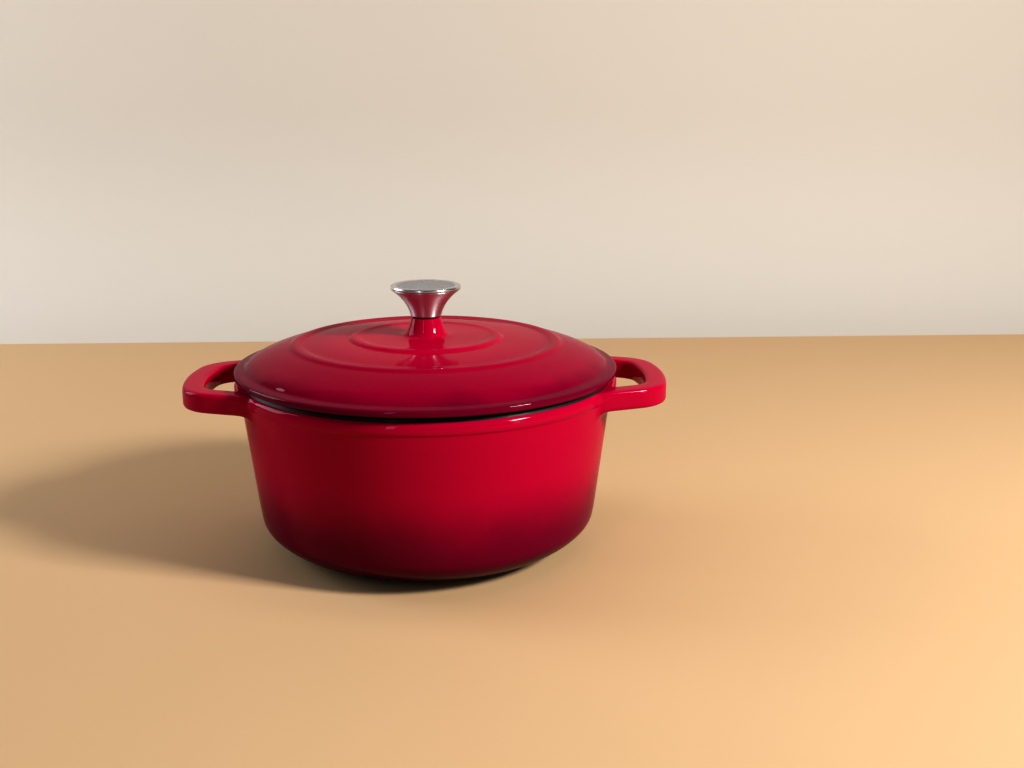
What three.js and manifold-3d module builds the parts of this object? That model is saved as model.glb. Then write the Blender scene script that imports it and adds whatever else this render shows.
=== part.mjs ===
// A round enamelled cast-iron dutch oven with its lid on.
// Millimetres, +Z up. The pot's axis is the Z axis, its base stands on z = 0 and its
// two loop handles point along +X and -X.
//
// Every turned piece is described by a closed outline of (radius, height) points that
// runs out along its underside, up its outside, in over its top and down its bore.

import * as THREE from 'three';
import { mergeVertices } from 'three/addons/utils/BufferGeometryUtils.js';
import Module from 'manifold-3d';

const wasm = await Module();
wasm.setup();

// ---------------------------------------------------------------- driving dimensions

const GAP = 0.3; // clearance between two pieces that touch on the real object
const FACETS = 48; // around the pot and the lid
const SMALL_FACETS = 32; // around the knob and its fasteners

// The pot: a tapered wall on a flat foot, with a large soft bottom corner.
const POT = {
  footRadius: 71,
  cornerRadius: 111, // where the bottom corner runs into the wall
  cornerHeight: 23.3,
  cornerFullness: 0.433, // how far the corner's curve reaches towards a sharp corner
  wallTopRadius: 121.4,
  wallTopHeight: 105,
  wall: 3.9,
  floor: 4.4,
  innerFootRadius: 68, // the flat inside floor
  innerCornerRise: 1, // how much higher the inside corner meets the wall
  innerCornerDrop: 9.5, // how far the inside corner's curve follows the wall down
  innerCornerRun: 17, // and how far it follows the floor out
};

// The pot's rim: a shallow band that rounds over to a dark lip with a flat crown.
const RIM = {
  bandRadius: 122.3,
  bandBottom: 107,
  bandTop: 111.2,
  shoulderRadius: 120.2, // where the red band meets the dark lip
  shoulderHeight: 114,
  crownOuter: 118.4,
  crownInner: 117.3,
  crownHeight: 117,
  boreRadius: 116.4, // the upright band inside the rim that the lid's lip drops into
  boreTop: 115.6,
  boreBottom: 99,
  pull: 0.4, // how far short of each corner its rounding's pull point lies
};

// The loop handles, cast in one with the pot: a bar of even width bent round a hand hole.
const HANDLE = {
  reach: 157.5, // from the pot's axis to the end of the bar
  bar: 14.2,
  bottom: 101.5,
  top: 114.5,
  edge: 3, // rounding of the bar's outer edges
  faceRadius: 138, // the slightly bowed end of the bar
  cornerRadius: 28.3,
  cornerOffset: 21.5, // from the handle's middle line to each corner's centre
  sideAngle: THREE.MathUtils.degToRad(18.5), // the sides spread towards the pot
  webRadius: 125, // the hand hole starts here, outside a narrow web on the wall
  rootRadius: 95, // the uncut bar starts here, well inside the wall
  edgeSteps: 3,
  cornerSteps: 7,
};

// The lid: a dome with two raised rings, a flat flange and a tall boss for the knob.
const LID = {
  radius: 125,
  edgeBottom: 118,
  edgeRound: 1.4, // the lower corner of the outer edge
  edgeTopRound: 1.6,
  flangeHeight: 122.5,
  flangeInner: 118.4,
  creaseHeight: 124.1, // the soft crease between the flange and the dome
  creasePull: 0.9,
  seat: RIM.crownHeight + GAP,
  seatOuter: 119.6,
  seatStep: 120.4,
  lipRadius: 114.3, // the locating lip that drops inside the pot's rim
  lipThickness: 3.8,
  lipBottom: 109.6,
  lipRound: 1.2, // how far up the lip its rounded bottom reaches
  lipDraft: 0.6, // how much wider the lip is at the seat
  domeFoot: 116.2,
  domeFootHeight: 125.5,
  domeShoulder: 92.5,
  domeShoulderHeight: 135.2,
  outerRing: 84.3,
  outerRingHeight: 137.8,
  outerRingHalf: 4.9,
  innerRing: 46.15,
  innerRingHeight: 141.1,
  innerRingHalf: 4.5,
  ringRound: 2.9, // how far each ring's rounded crown reaches on either side
  ringFall: 1, // a ring's height above the dome on its inner side
  ringOuterFall: 1.6, // and on its outer side
  bossRadius: 9.6,
  bossTop: 152.9,
  bossFoot: 17.5,
  bossFootHeight: 140.5,
  bossEdge: 0.4,
  padRadius: 12, // the flat pad under the boss, where the screw's washers bear
  padHeight: 134.9,
  padStep: 1.5,
  hole: 3.4,
};

// Where the top of the dome and of the boss run between the sizes above, as radius and
// height.
const LID_TOP = {
  domePull: [105.3, 130.95],
  betweenRings: [65, 138.6],
  bossFootPull: [12.9, 140.9],
  bossNeckPull: [11.2, 146.5],
};

// Where the underside of the dome runs: it follows the top at a nearly even thickness
// of 4 mm.
const LID_UNDERSIDE = {
  crownPull: [50, 136.5],
  ring: [80, 132.5],
  shoulderPull: [96, 130.7],
  hip: [105.2, 126],
  hipPull: [109.6, 123.5],
};

// The knob: a flared stainless body with a top plate, on a thin gasket.
const KNOB = {
  radius: 23,
  baseRadius: 10.1,
  baseEdge: 0.5,
  gasketRadius: 9,
  gasketThickness: 0.6,
  flareHeight: 17.5,
  rimSlope: 0.6, // how far inside the top edge the flare ends
  flarePulls: [1.5, 6.4, 5.1, 12.1], // the flare's pull points, out and up from the base
  topEdge: 0.4,
  cavity: 8.6, // radius of the hollow that the insert sits in
  cavityStep: 0.5, // how much wider it is above the insert
  cavityStepHeight: 8.3,
  cavityMouth: 14,
  cavityMouthStep: 1.8,
  cavityMouthHeight: 13.8,
  insertHeight: 11.9,
};

// The plate that closes the knob's top: a rounded rim round a slightly dished disc.
const PLATE = {
  thickness: 2.3,
  lowerEdge: 0.7,
  upperEdge: 1,
  edgeHeight: 0.7,
  rimWidth: 3.4,
  stepWidth: 0.7,
  stepDepth: 0.3,
  dish: 0.7, // how far the middle lies below the rim
};

// The M6 pan-head screw and its washers, from the lid's underside.
const SCREW = {
  shank: 3,
  tipEdge: 0.8,
  head: 6.2,
  headHeight: 3.8,
  headFlat: 3.6,
  headCrown: 0.3,
  headSide: 1.4,
  engagement: 10, // how far the shank runs up inside the insert
  recessWidth: 1.3,
  recessLength: 6.4,
  recessDepth: 1.9,
  insertBore: 3.3,
  washerRadius: 8.5,
  washerThickness: 1.3,
  springRadius: 5.9,
  springThickness: 1.5,
  springSlit: 1.2,
  springSlant: THREE.MathUtils.degToRad(30),
};

// Heights that follow from the stack of pieces on the boss and under the pad.
const gasketBottom = LID.bossTop + GAP;
const knobBase = gasketBottom + KNOB.gasketThickness + GAP;
const knobFlareTop = knobBase + KNOB.flareHeight;
const knobPlateBottom = knobFlareTop + GAP;
const washerBottom = LID.padHeight - GAP - SCREW.washerThickness;
const springBottom = washerBottom - GAP - SCREW.springThickness;
const headTop = springBottom - GAP;

// ---------------------------------------------------------------- materials

const RED_ENAMEL = { color: 0xa80620, roughness: 0.12, metalness: 0 };
const STAINLESS = { color: 0xb9b9bb, roughness: 0.28, metalness: 1 };
const ZINC_STEEL = { color: 0x9a9c9e, roughness: 0.4, metalness: 1 };
const DARK_RUBBER = { color: 0x141414, roughness: 0.75, metalness: 0 };

// ---------------------------------------------------------------- shared helpers

const dutchOven = new THREE.Group();

function addPiece(name, geometry, finish) {
  const mesh = new THREE.Mesh(geometry, new THREE.MeshStandardMaterial(finish));
  mesh.name = name;
  dutchOven.add(mesh);
  return mesh;
}

// Turns an outline about Z. `divisions` is the number of steps in each of its curves.
function turned(outline, facets, divisions = 4) {
  const geometry = new THREE.LatheGeometry(outline.getPoints(divisions), facets);
  return geometry.rotateX(Math.PI / 2);
}

// A shape through a path's points, without the doubled points where its curves meet.
function shapeFrom(path, divisions) {
  const points = [];
  for (const point of path.getPoints(divisions)) {
    const last = points.at(-1);
    if (!last || last.distanceTo(point) > 0.01) {
      points.push(point);
    }
  }
  return new THREE.Shape(points);
}

// A plain ring or disc with square edges.
function ringOutline(inner, outer, bottom, top) {
  const outline = new THREE.Path();
  outline.moveTo(inner, bottom);
  outline.lineTo(outer, bottom);
  outline.lineTo(outer, top);
  outline.lineTo(inner, top);
  outline.lineTo(inner, bottom);
  return outline;
}

// A closed geometry as a solid that can be cut.
function solid(geometry) {
  const plain = geometry.clone();
  plain.deleteAttribute('normal');
  plain.deleteAttribute('uv');
  const merged = mergeVertices(plain);
  const corners = Array.from(merged.getIndex().array);
  const triangles = [];
  for (let i = 0; i < corners.length; i += 3) {
    const [a, b, c] = corners.slice(i, i + 3);
    // Merging flattens the triangles that met at the axis to lines: those are dropped.
    if (a !== b && b !== c && c !== a) {
      triangles.push(a, b, c);
    }
  }
  return new wasm.Manifold(
    new wasm.Mesh({
      numProp: 3,
      vertProperties: new Float32Array(merged.getAttribute('position').array),
      triVerts: new Uint32Array(triangles),
    }),
  );
}

function cut(geometry, ...cutters) {
  let result = solid(geometry);
  for (const cutter of cutters) {
    result = result.subtract(solid(cutter));
  }
  const mesh = result.getMesh();
  const output = new THREE.BufferGeometry();
  output.setAttribute('position', new THREE.BufferAttribute(mesh.vertProperties, 3));
  output.setIndex(new THREE.BufferAttribute(mesh.triVerts, 1));
  output.computeVertexNormals();
  return output;
}

// ---------------------------------------------------------------- pot

// The wall's outer face leans out by this much for each millimetre of height.
const wallSlope =
  (POT.wallTopRadius - POT.cornerRadius) / (POT.wallTopHeight - POT.cornerHeight);

// Draws a bottom corner from a flat at (flatRadius, flatHeight) up to a point on the wall.
function drawCornerUp(outline, flatRadius, flatHeight, wallRadius, wallHeight) {
  const rise = wallHeight - flatHeight;
  const sharpRadius = wallRadius - wallSlope * rise;
  const run = sharpRadius - flatRadius;
  outline.bezierCurveTo(
    flatRadius + POT.cornerFullness * run,
    flatHeight,
    wallRadius - POT.cornerFullness * wallSlope * rise,
    wallHeight - POT.cornerFullness * rise,
    wallRadius,
    wallHeight,
  );
}

// Draws the rim's outside from the top of the wall to the crown. `grow` moves it outwards.
function drawRimUp(outline, grow) {
  outline.lineTo(POT.wallTopRadius + grow, POT.wallTopHeight);
  outline.lineTo(RIM.bandRadius + grow, RIM.bandBottom);
  outline.lineTo(RIM.bandRadius + grow, RIM.bandTop);
  outline.quadraticCurveTo(
    RIM.bandRadius + grow,
    RIM.shoulderHeight - RIM.pull,
    RIM.shoulderRadius + grow,
    RIM.shoulderHeight,
  );
  outline.quadraticCurveTo(
    RIM.shoulderRadius - RIM.pull + grow,
    RIM.crownHeight - RIM.pull,
    RIM.crownOuter + grow,
    RIM.crownHeight,
  );
}

function potBody() {
  const innerCornerRadius = POT.cornerRadius - POT.wall;
  const innerCornerHeight = POT.cornerHeight + POT.innerCornerRise;
  const outline = new THREE.Path();
  outline.moveTo(0, 0);
  outline.lineTo(POT.footRadius, 0);
  drawCornerUp(outline, POT.footRadius, 0, POT.cornerRadius, POT.cornerHeight);
  drawRimUp(outline, 0);
  outline.lineTo(RIM.crownInner, RIM.crownHeight);
  outline.quadraticCurveTo(RIM.boreRadius, RIM.crownHeight, RIM.boreRadius, RIM.boreTop);
  outline.lineTo(RIM.boreRadius, RIM.boreBottom);
  outline.lineTo(innerCornerRadius, innerCornerHeight);
  outline.bezierCurveTo(
    innerCornerRadius - POT.innerCornerDrop * wallSlope,
    innerCornerHeight - POT.innerCornerDrop,
    POT.innerFootRadius + POT.innerCornerRun,
    POT.floor,
    POT.innerFootRadius,
    POT.floor,
  );
  outline.lineTo(0, POT.floor);
  return turned(outline, FACETS, 5);
}

// ---------------------------------------------------------------- handles

// The plan of one side of the bar's outline, or of its hole, which share corner centres:
// the point where the straight side leaves the corner, and where it meets the circle
// `circleRadius` about the pot's axis.
function handleSide(cornerCentre, cornerRadius, circleRadius) {
  const normal = new THREE.Vector2(Math.sin(HANDLE.sideAngle), Math.cos(HANDLE.sideAngle));
  const inward = new THREE.Vector2(-Math.cos(HANDLE.sideAngle), Math.sin(HANDLE.sideAngle));
  const start = cornerCentre.clone().addScaledVector(normal, cornerRadius);
  const along = start.dot(inward);
  const distance = -along - Math.sqrt(along ** 2 - start.lengthSq() + circleRadius ** 2);
  const end = start.clone().addScaledVector(inward, distance);
  return { start, end };
}

// The bar's outline, inset by `inset`: its hand hole is inset by the whole bar. It runs
// from a circle about the pot's axis round the end of the handle and back.
function drawHandlePlan(path, inset, circleRadius) {
  const faceRadius = HANDLE.faceRadius - inset;
  const faceCentre = HANDLE.reach - HANDLE.faceRadius;
  const cornerRadius = HANDLE.cornerRadius - inset;
  const centreDistance = HANDLE.faceRadius - HANDLE.cornerRadius;
  const cornerX = faceCentre + Math.sqrt(centreDistance ** 2 - HANDLE.cornerOffset ** 2);
  const faceAngle = Math.asin(HANDLE.cornerOffset / centreDistance);
  const sideNormal = Math.PI / 2 - HANDLE.sideAngle;
  const cornerCentre = new THREE.Vector2(cornerX, HANDLE.cornerOffset);
  const { start, end } = handleSide(cornerCentre, cornerRadius, circleRadius);
  path.moveTo(end.x, -end.y);
  path.lineTo(start.x, -start.y);
  path.absarc(cornerX, -HANDLE.cornerOffset, cornerRadius, -sideNormal, -faceAngle, false);
  path.absarc(faceCentre, 0, faceRadius, -faceAngle, faceAngle, false);
  path.absarc(cornerX, HANDLE.cornerOffset, cornerRadius, faceAngle, sideNormal, false);
  path.lineTo(end.x, end.y);
  return Math.atan2(end.y, end.x);
}

function handle() {
  const depth = HANDLE.top - HANDLE.bottom;
  const barPlan = new THREE.Path();
  drawHandlePlan(barPlan, HANDLE.edge, HANDLE.rootRadius);
  const bar = new THREE.ExtrudeGeometry(shapeFrom(barPlan, HANDLE.cornerSteps), {
    depth: depth - 2 * HANDLE.edge,
    bevelThickness: HANDLE.edge,
    bevelSize: HANDLE.edge,
    bevelSegments: HANDLE.edgeSteps,
  });
  bar.translate(0, 0, HANDLE.bottom + HANDLE.edge);

  const holePlan = new THREE.Path();
  const webAngle = drawHandlePlan(holePlan, HANDLE.bar, HANDLE.webRadius);
  holePlan.absarc(0, 0, HANDLE.webRadius, webAngle, -webAngle, true);
  const hole = new THREE.ExtrudeGeometry(shapeFrom(holePlan, HANDLE.cornerSteps), {
    depth: 3 * depth,
    bevelEnabled: false,
  });
  hole.translate(0, 0, HANDLE.bottom - depth);

  // The pot's outside, grown by the clearance and carried well above the handle.
  const start = HANDLE.bottom - depth;
  const startRadius = POT.wallTopRadius - wallSlope * (POT.wallTopHeight - start) + GAP;
  const potOutline = new THREE.Path();
  potOutline.moveTo(0, start);
  potOutline.lineTo(startRadius, start);
  drawRimUp(potOutline, GAP);
  potOutline.lineTo(0, RIM.crownHeight);
  const potCutter = turned(potOutline, FACETS, 5);

  return cut(bar, hole, potCutter);
}

// ---------------------------------------------------------------- lid

// Draws a raised ring from its outer foot over its crown to its inner foot.
function drawRing(outline, radius, height, half) {
  outline.quadraticCurveTo(radius + LID.ringRound, height, radius, height);
  outline.quadraticCurveTo(
    radius - LID.ringRound,
    height,
    radius - half,
    height - LID.ringFall,
  );
}

// The lid's underside, from the screw hole out over the dome and the locating lip to
// the bottom of the outer edge.
function drawLidUnderside(outline) {
  const lipInner = LID.lipRadius - LID.lipThickness;
  const lipMiddle = LID.lipRadius - LID.lipThickness / 2;
  const lipRound = LID.lipBottom + LID.lipRound;
  outline.moveTo(LID.hole, LID.padHeight);
  outline.lineTo(LID.padRadius, LID.padHeight);
  outline.lineTo(LID.padRadius + LID.padStep, LID.padHeight + LID.padStep);
  outline.quadraticCurveTo(...LID_UNDERSIDE.crownPull, ...LID_UNDERSIDE.ring);
  outline.quadraticCurveTo(...LID_UNDERSIDE.shoulderPull, ...LID_UNDERSIDE.hip);
  outline.quadraticCurveTo(...LID_UNDERSIDE.hipPull, lipInner, LID.seat);
  outline.lineTo(lipInner, lipRound);
  outline.quadraticCurveTo(lipInner, LID.lipBottom, lipMiddle, LID.lipBottom);
  outline.quadraticCurveTo(LID.lipRadius, LID.lipBottom, LID.lipRadius, lipRound);
  outline.lineTo(LID.lipRadius + LID.lipDraft, LID.seat);
  outline.lineTo(LID.seatOuter, LID.seat);
  outline.lineTo(LID.seatStep, LID.edgeBottom);
  outline.lineTo(LID.radius - LID.edgeRound, LID.edgeBottom);
}

// The lid's top, from the bottom of the outer edge in over the flange, the dome and its
// two rings to the foot of the boss.
function drawLidTop(outline) {
  const edgeTop = LID.edgeBottom + 2 * LID.edgeRound;
  const innerRingFoot = LID.innerRing + LID.innerRingHalf;
  outline.quadraticCurveTo(
    LID.radius,
    LID.edgeBottom,
    LID.radius,
    LID.edgeBottom + LID.edgeRound,
  );
  outline.lineTo(LID.radius, edgeTop);
  outline.quadraticCurveTo(
    LID.radius,
    LID.flangeHeight - LID.edgeTopRound / 4,
    LID.radius - LID.edgeTopRound,
    LID.flangeHeight,
  );
  outline.lineTo(LID.flangeInner, LID.creaseHeight);
  outline.quadraticCurveTo(
    LID.domeFoot + LID.creasePull,
    LID.creaseHeight + LID.creasePull / 2,
    LID.domeFoot,
    LID.domeFootHeight,
  );
  outline.quadraticCurveTo(...LID_TOP.domePull, LID.domeShoulder, LID.domeShoulderHeight);
  outline.lineTo(LID.outerRing + LID.outerRingHalf, LID.outerRingHeight - LID.ringOuterFall);
  drawRing(outline, LID.outerRing, LID.outerRingHeight, LID.outerRingHalf);
  outline.quadraticCurveTo(
    ...LID_TOP.betweenRings,
    innerRingFoot,
    LID.innerRingHeight - LID.ringOuterFall,
  );
  drawRing(outline, LID.innerRing, LID.innerRingHeight, LID.innerRingHalf);
  outline.lineTo(LID.bossFoot, LID.bossFootHeight);
}

function lidCasting() {
  const outline = new THREE.Path();
  drawLidUnderside(outline);
  drawLidTop(outline);
  // The boss: a flared foot, a slim neck, a flat top and the screw hole.
  outline.bezierCurveTo(
    ...LID_TOP.bossFootPull,
    ...LID_TOP.bossNeckPull,
    LID.bossRadius,
    LID.bossTop - LID.bossEdge,
  );
  outline.lineTo(LID.bossRadius - LID.bossEdge, LID.bossTop);
  outline.lineTo(LID.hole, LID.bossTop);
  outline.lineTo(LID.hole, LID.padHeight);
  return turned(outline, FACETS, 3);
}

// ---------------------------------------------------------------- knob

function knobBody() {
  const [footOut, footUp, neckOut, neckUp] = KNOB.flarePulls;
  const outline = new THREE.Path();
  outline.moveTo(KNOB.cavity, knobBase);
  outline.lineTo(KNOB.baseRadius - KNOB.baseEdge, knobBase);
  outline.lineTo(KNOB.baseRadius, knobBase + KNOB.baseEdge);
  outline.bezierCurveTo(
    KNOB.baseRadius + footOut,
    knobBase + footUp,
    KNOB.baseRadius + neckOut,
    knobBase + neckUp,
    KNOB.radius - KNOB.rimSlope,
    knobFlareTop - KNOB.rimSlope,
  );
  outline.lineTo(KNOB.radius - KNOB.topEdge, knobFlareTop);
  outline.lineTo(KNOB.cavityMouth, knobFlareTop);
  outline.lineTo(KNOB.cavityMouth - KNOB.cavityMouthStep, knobBase + KNOB.cavityMouthHeight);
  outline.lineTo(KNOB.cavity + KNOB.cavityStep, knobBase + KNOB.cavityStepHeight);
  outline.lineTo(KNOB.cavity, knobBase);
  return turned(outline, SMALL_FACETS, 7);
}

function knobTopPlate() {
  const top = knobPlateBottom + PLATE.thickness;
  const edge = knobPlateBottom + PLATE.edgeHeight;
  const rimInner = KNOB.radius - PLATE.rimWidth;
  const outline = new THREE.Path();
  outline.moveTo(0, knobPlateBottom);
  outline.lineTo(KNOB.radius - PLATE.lowerEdge, knobPlateBottom);
  outline.quadraticCurveTo(KNOB.radius, knobPlateBottom, KNOB.radius, edge);
  outline.quadraticCurveTo(KNOB.radius, top, KNOB.radius - PLATE.upperEdge, top);
  outline.lineTo(rimInner, top);
  outline.lineTo(rimInner - PLATE.stepWidth, top - PLATE.stepDepth);
  outline.lineTo(0, top - PLATE.dish);
  return turned(outline, SMALL_FACETS, 3);
}

// ---------------------------------------------------------------- fasteners

function knobScrew() {
  const headBottom = headTop - SCREW.headHeight;
  const tip = knobBase + SCREW.engagement;
  const outline = new THREE.Path();
  outline.moveTo(0, headBottom);
  outline.lineTo(SCREW.headFlat, headBottom);
  outline.quadraticCurveTo(
    SCREW.head,
    headBottom + SCREW.headCrown,
    SCREW.head,
    headTop - SCREW.headSide,
  );
  outline.lineTo(SCREW.head, headTop);
  outline.lineTo(SCREW.shank, headTop);
  outline.lineTo(SCREW.shank, tip - SCREW.tipEdge);
  outline.lineTo(SCREW.shank - SCREW.tipEdge, tip);
  outline.lineTo(0, tip);
  const screw = turned(outline, SMALL_FACETS, 4);
  const recessHeight = 2 * SCREW.recessDepth;
  const slot = new THREE.BoxGeometry(SCREW.recessLength, SCREW.recessWidth, recessHeight);
  slot.translate(0, 0, headBottom);
  const crossSlot = slot.clone().rotateZ(Math.PI / 2);
  return cut(screw, slot, crossSlot);
}

// A spring washer: a ring split by a slanted slit.
function springWasher() {
  const ring = turned(
    ringOutline(LID.hole, SCREW.springRadius, springBottom, springBottom + SCREW.springThickness),
    SMALL_FACETS,
  );
  const slitHeight = 2 * SCREW.springRadius;
  const slit = new THREE.BoxGeometry(slitHeight, SCREW.springSlit, slitHeight);
  slit.rotateX(SCREW.springSlant);
  slit.translate(SCREW.springRadius, 0, springBottom + SCREW.springThickness / 2);
  return cut(ring, slit);
}

// ---------------------------------------------------------------- assembly

const handleGeometry = handle();

addPiece('pot_body', potBody(), RED_ENAMEL);
addPiece('handle_right', handleGeometry, RED_ENAMEL);
addPiece('handle_left', handleGeometry.clone(), RED_ENAMEL).rotation.z = Math.PI;

addPiece('lid_casting', lidCasting(), RED_ENAMEL);
addPiece(
  'knob_gasket',
  turned(
    ringOutline(LID.hole, KNOB.gasketRadius, gasketBottom, gasketBottom + KNOB.gasketThickness),
    SMALL_FACETS,
  ),
  DARK_RUBBER,
);
addPiece('knob_body', knobBody(), STAINLESS);
addPiece('knob_top_plate', knobTopPlate(), STAINLESS);
addPiece(
  'knob_insert',
  turned(
    ringOutline(SCREW.insertBore, KNOB.cavity - GAP, knobBase, knobBase + KNOB.insertHeight),
    SMALL_FACETS,
  ),
  ZINC_STEEL,
);
addPiece('knob_screw', knobScrew(), ZINC_STEEL);
addPiece('spring_washer', springWasher(), ZINC_STEEL);
addPiece(
  'flat_washer',
  turned(
    ringOutline(
      LID.hole,
      SCREW.washerRadius,
      washerBottom,
      washerBottom + SCREW.washerThickness,
    ),
    SMALL_FACETS,
  ),
  ZINC_STEEL,
);

export default dutchOven;
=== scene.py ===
"""A round enamelled cast-iron dutch oven, built piece by piece around its CAD frame."""

import math

import bmesh
import bpy
from mathutils import Matrix, Vector
from mathutils.geometry import interpolate_bezier


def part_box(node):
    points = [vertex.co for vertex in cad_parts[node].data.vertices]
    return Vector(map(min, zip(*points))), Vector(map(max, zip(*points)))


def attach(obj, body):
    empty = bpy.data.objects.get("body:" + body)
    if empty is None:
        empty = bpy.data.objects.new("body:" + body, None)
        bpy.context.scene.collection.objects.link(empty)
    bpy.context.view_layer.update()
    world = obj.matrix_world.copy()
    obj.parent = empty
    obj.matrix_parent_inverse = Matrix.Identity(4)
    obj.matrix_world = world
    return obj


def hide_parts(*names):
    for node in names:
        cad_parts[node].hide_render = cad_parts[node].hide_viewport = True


bl_info = {
    "name": "Enamelled Dutch Oven",
    "version": (1, 0, 0),
    "blender": (4, 5, 0),
    "location": "View3D > Sidebar > Dutch Oven",
    "description": "Builds a round enamelled dutch oven, its lid, knob and fasteners",
    "category": "Add Mesh",
}

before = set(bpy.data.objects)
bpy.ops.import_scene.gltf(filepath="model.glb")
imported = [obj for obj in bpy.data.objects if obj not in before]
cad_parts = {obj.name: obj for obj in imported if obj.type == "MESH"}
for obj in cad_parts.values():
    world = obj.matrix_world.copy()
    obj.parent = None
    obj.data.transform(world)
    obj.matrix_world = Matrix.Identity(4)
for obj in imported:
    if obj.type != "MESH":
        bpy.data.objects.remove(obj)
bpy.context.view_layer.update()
MM = 0.001

# The CAD boxes that the sizes below start from, as (lowest corner, highest corner).
POT_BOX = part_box("pot_body")
HANDLE_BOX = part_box("handle_right")
LID_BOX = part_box("lid_casting")
GASKET_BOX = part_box("knob_gasket")
KNOB_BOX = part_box("knob_body")
PLATE_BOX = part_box("knob_top_plate")
INSERT_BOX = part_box("knob_insert")
SCREW_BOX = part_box("knob_screw")
SPRING_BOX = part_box("spring_washer")
WASHER_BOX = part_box("flat_washer")


# ---------------------------------------------------------------- settings


def length(name, description, default):
    """A length property in metres."""
    return bpy.props.FloatProperty(
        name=name,
        description=description,
        default=default,
        min=0.0,
        precision=4,
        unit="LENGTH",
        subtype="DISTANCE",
    )


def colour(name, description, default):
    """A linear colour property."""
    return bpy.props.FloatVectorProperty(
        name=name,
        description=description,
        default=default,
        min=0.0,
        max=1.0,
        size=3,
        subtype="COLOR",
    )


def angle(name, description, degrees):
    """An angle property, given in degrees."""
    return bpy.props.FloatProperty(
        name=name,
        description=description,
        default=math.radians(degrees),
        subtype="ANGLE",
    )


def power(name, description, watts):
    """The power of a light."""
    return bpy.props.FloatProperty(
        name=name,
        description=description,
        default=watts,
        min=0.0,
        unit="POWER",
    )


class OvenPotSettings(bpy.types.PropertyGroup):
    """Sizes of the pot and its two handles."""

    foot_radius: length("Foot radius", "Radius of the flat foot", 71 * MM)
    corner_radius: length("Corner radius", "Radius where the corner meets the wall", 111 * MM)
    corner_height: length("Corner height", "Height where the corner meets the wall", 23.3 * MM)
    wall: length("Wall", "Thickness of the wall", 3.9 * MM)
    floor: length("Floor", "Thickness of the floor", 4.4 * MM)
    band_radius: length("Band radius", "Radius of the band under the rim", POT_BOX[1].x)
    height: length("Height", "Height of the rim's crown", POT_BOX[1].z)
    handle_reach: length("Handle reach", "From the pot's axis to a handle's end", HANDLE_BOX[1].x)
    bar_bottom: length("Bar bottom", "Height of a handle's underside", HANDLE_BOX[0].z)
    bar_top: length("Bar top", "Height of a handle's top", HANDLE_BOX[1].z)
    bar_width: length("Bar width", "Width of a handle's bar", 14.2 * MM)


class OvenLidSettings(bpy.types.PropertyGroup):
    """Sizes of the lid."""

    radius: length("Radius", "Radius of the lid's outer edge", LID_BOX[1].x)
    boss_top: length("Boss top", "Height of the boss that carries the knob", LID_BOX[1].z)
    lip_bottom: length("Lip bottom", "Height of the lip inside the rim", LID_BOX[0].z)
    hole: length("Hole", "Radius of the screw hole", 3.4 * MM)


class OvenKnobSettings(bpy.types.PropertyGroup):
    """Sizes of the knob."""

    radius: length("Radius", "Radius of the knob's top", PLATE_BOX[1].x)
    foot: length("Foot", "Radius of the knob's foot", 10.15 * MM)


class OvenFinishSettings(bpy.types.PropertyGroup):
    """Colours of the finishes."""

    bright_red: colour("Bright red", "Enamel where the colour is full", (0.33, 0.0, 0.031))
    deep_red: colour("Deep red", "Enamel halfway into the shade", (0.118, 0.0, 0.018))
    # the darkest stop, at the foot, is partly the enamel's own colour and partly painted shade
    burgundy_and_shade: colour("Burgundy", "Enamel where it is darkest", (0.018, 0.0, 0.0065))
    black: colour("Black", "Enamel inside the pot and under the lid", (0.012, 0.012, 0.013))
    stainless: colour("Stainless", "The knob's turned steel", (0.68, 0.68, 0.70))
    # grey brushed steel, with a painted cool reflection giving its blue cast
    brushed: colour("Brushed", "The brushed disc in the knob's top", (0.39, 0.44, 0.53))
    zinc: colour("Zinc", "The plated fasteners", (0.46, 0.46, 0.47))
    rubber: colour("Rubber", "The gasket under the knob", (0.010, 0.010, 0.010))
    floor: colour("Floor", "The floor", (0.46, 0.31, 0.175))
    backdrop: colour("Backdrop", "The backdrop behind the floor", (0.50, 0.46, 0.41))


class OvenStudioSettings(bpy.types.PropertyGroup):
    """The camera and the lights."""

    focal_length: bpy.props.FloatProperty(
        name="Focal length",
        description="Focal length of the camera",
        default=43.875,
        min=1.0,
        unit="CAMERA",
    )
    camera_across: length("Camera across", "To the right of the pot's axis", 0.0180)
    camera_back: length("Camera back", "In front of the pot's axis", 0.8049)
    camera_height: length("Camera height", "Above the floor", 0.3049)
    heading: angle("Heading", "How far the camera turns to its right", 2.72)
    pitch: angle("Pitch", "How far the camera looks down", 13.80)
    cove_start: length("Cove start", "Where the floor begins to curve up", 0.66)
    wall_distance: length("Wall distance", "From the pot's axis to the backdrop", 0.92)
    wall_height: length("Wall height", "Height of the backdrop", 2.4)
    half_width: length("Half width", "Half the width of the floor", 3.0)
    key_power: power("Key light", "Power of the key light", 30.5)
    window_power: power("Window light", "Power of the broad light on the left", 10.0)
    strip_power: power("Strip lights", "Power of each of the two tall strip lights", 1.5)
    wall_power: power("Wall light", "Power of the light on the backdrop", 6.5)


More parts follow.
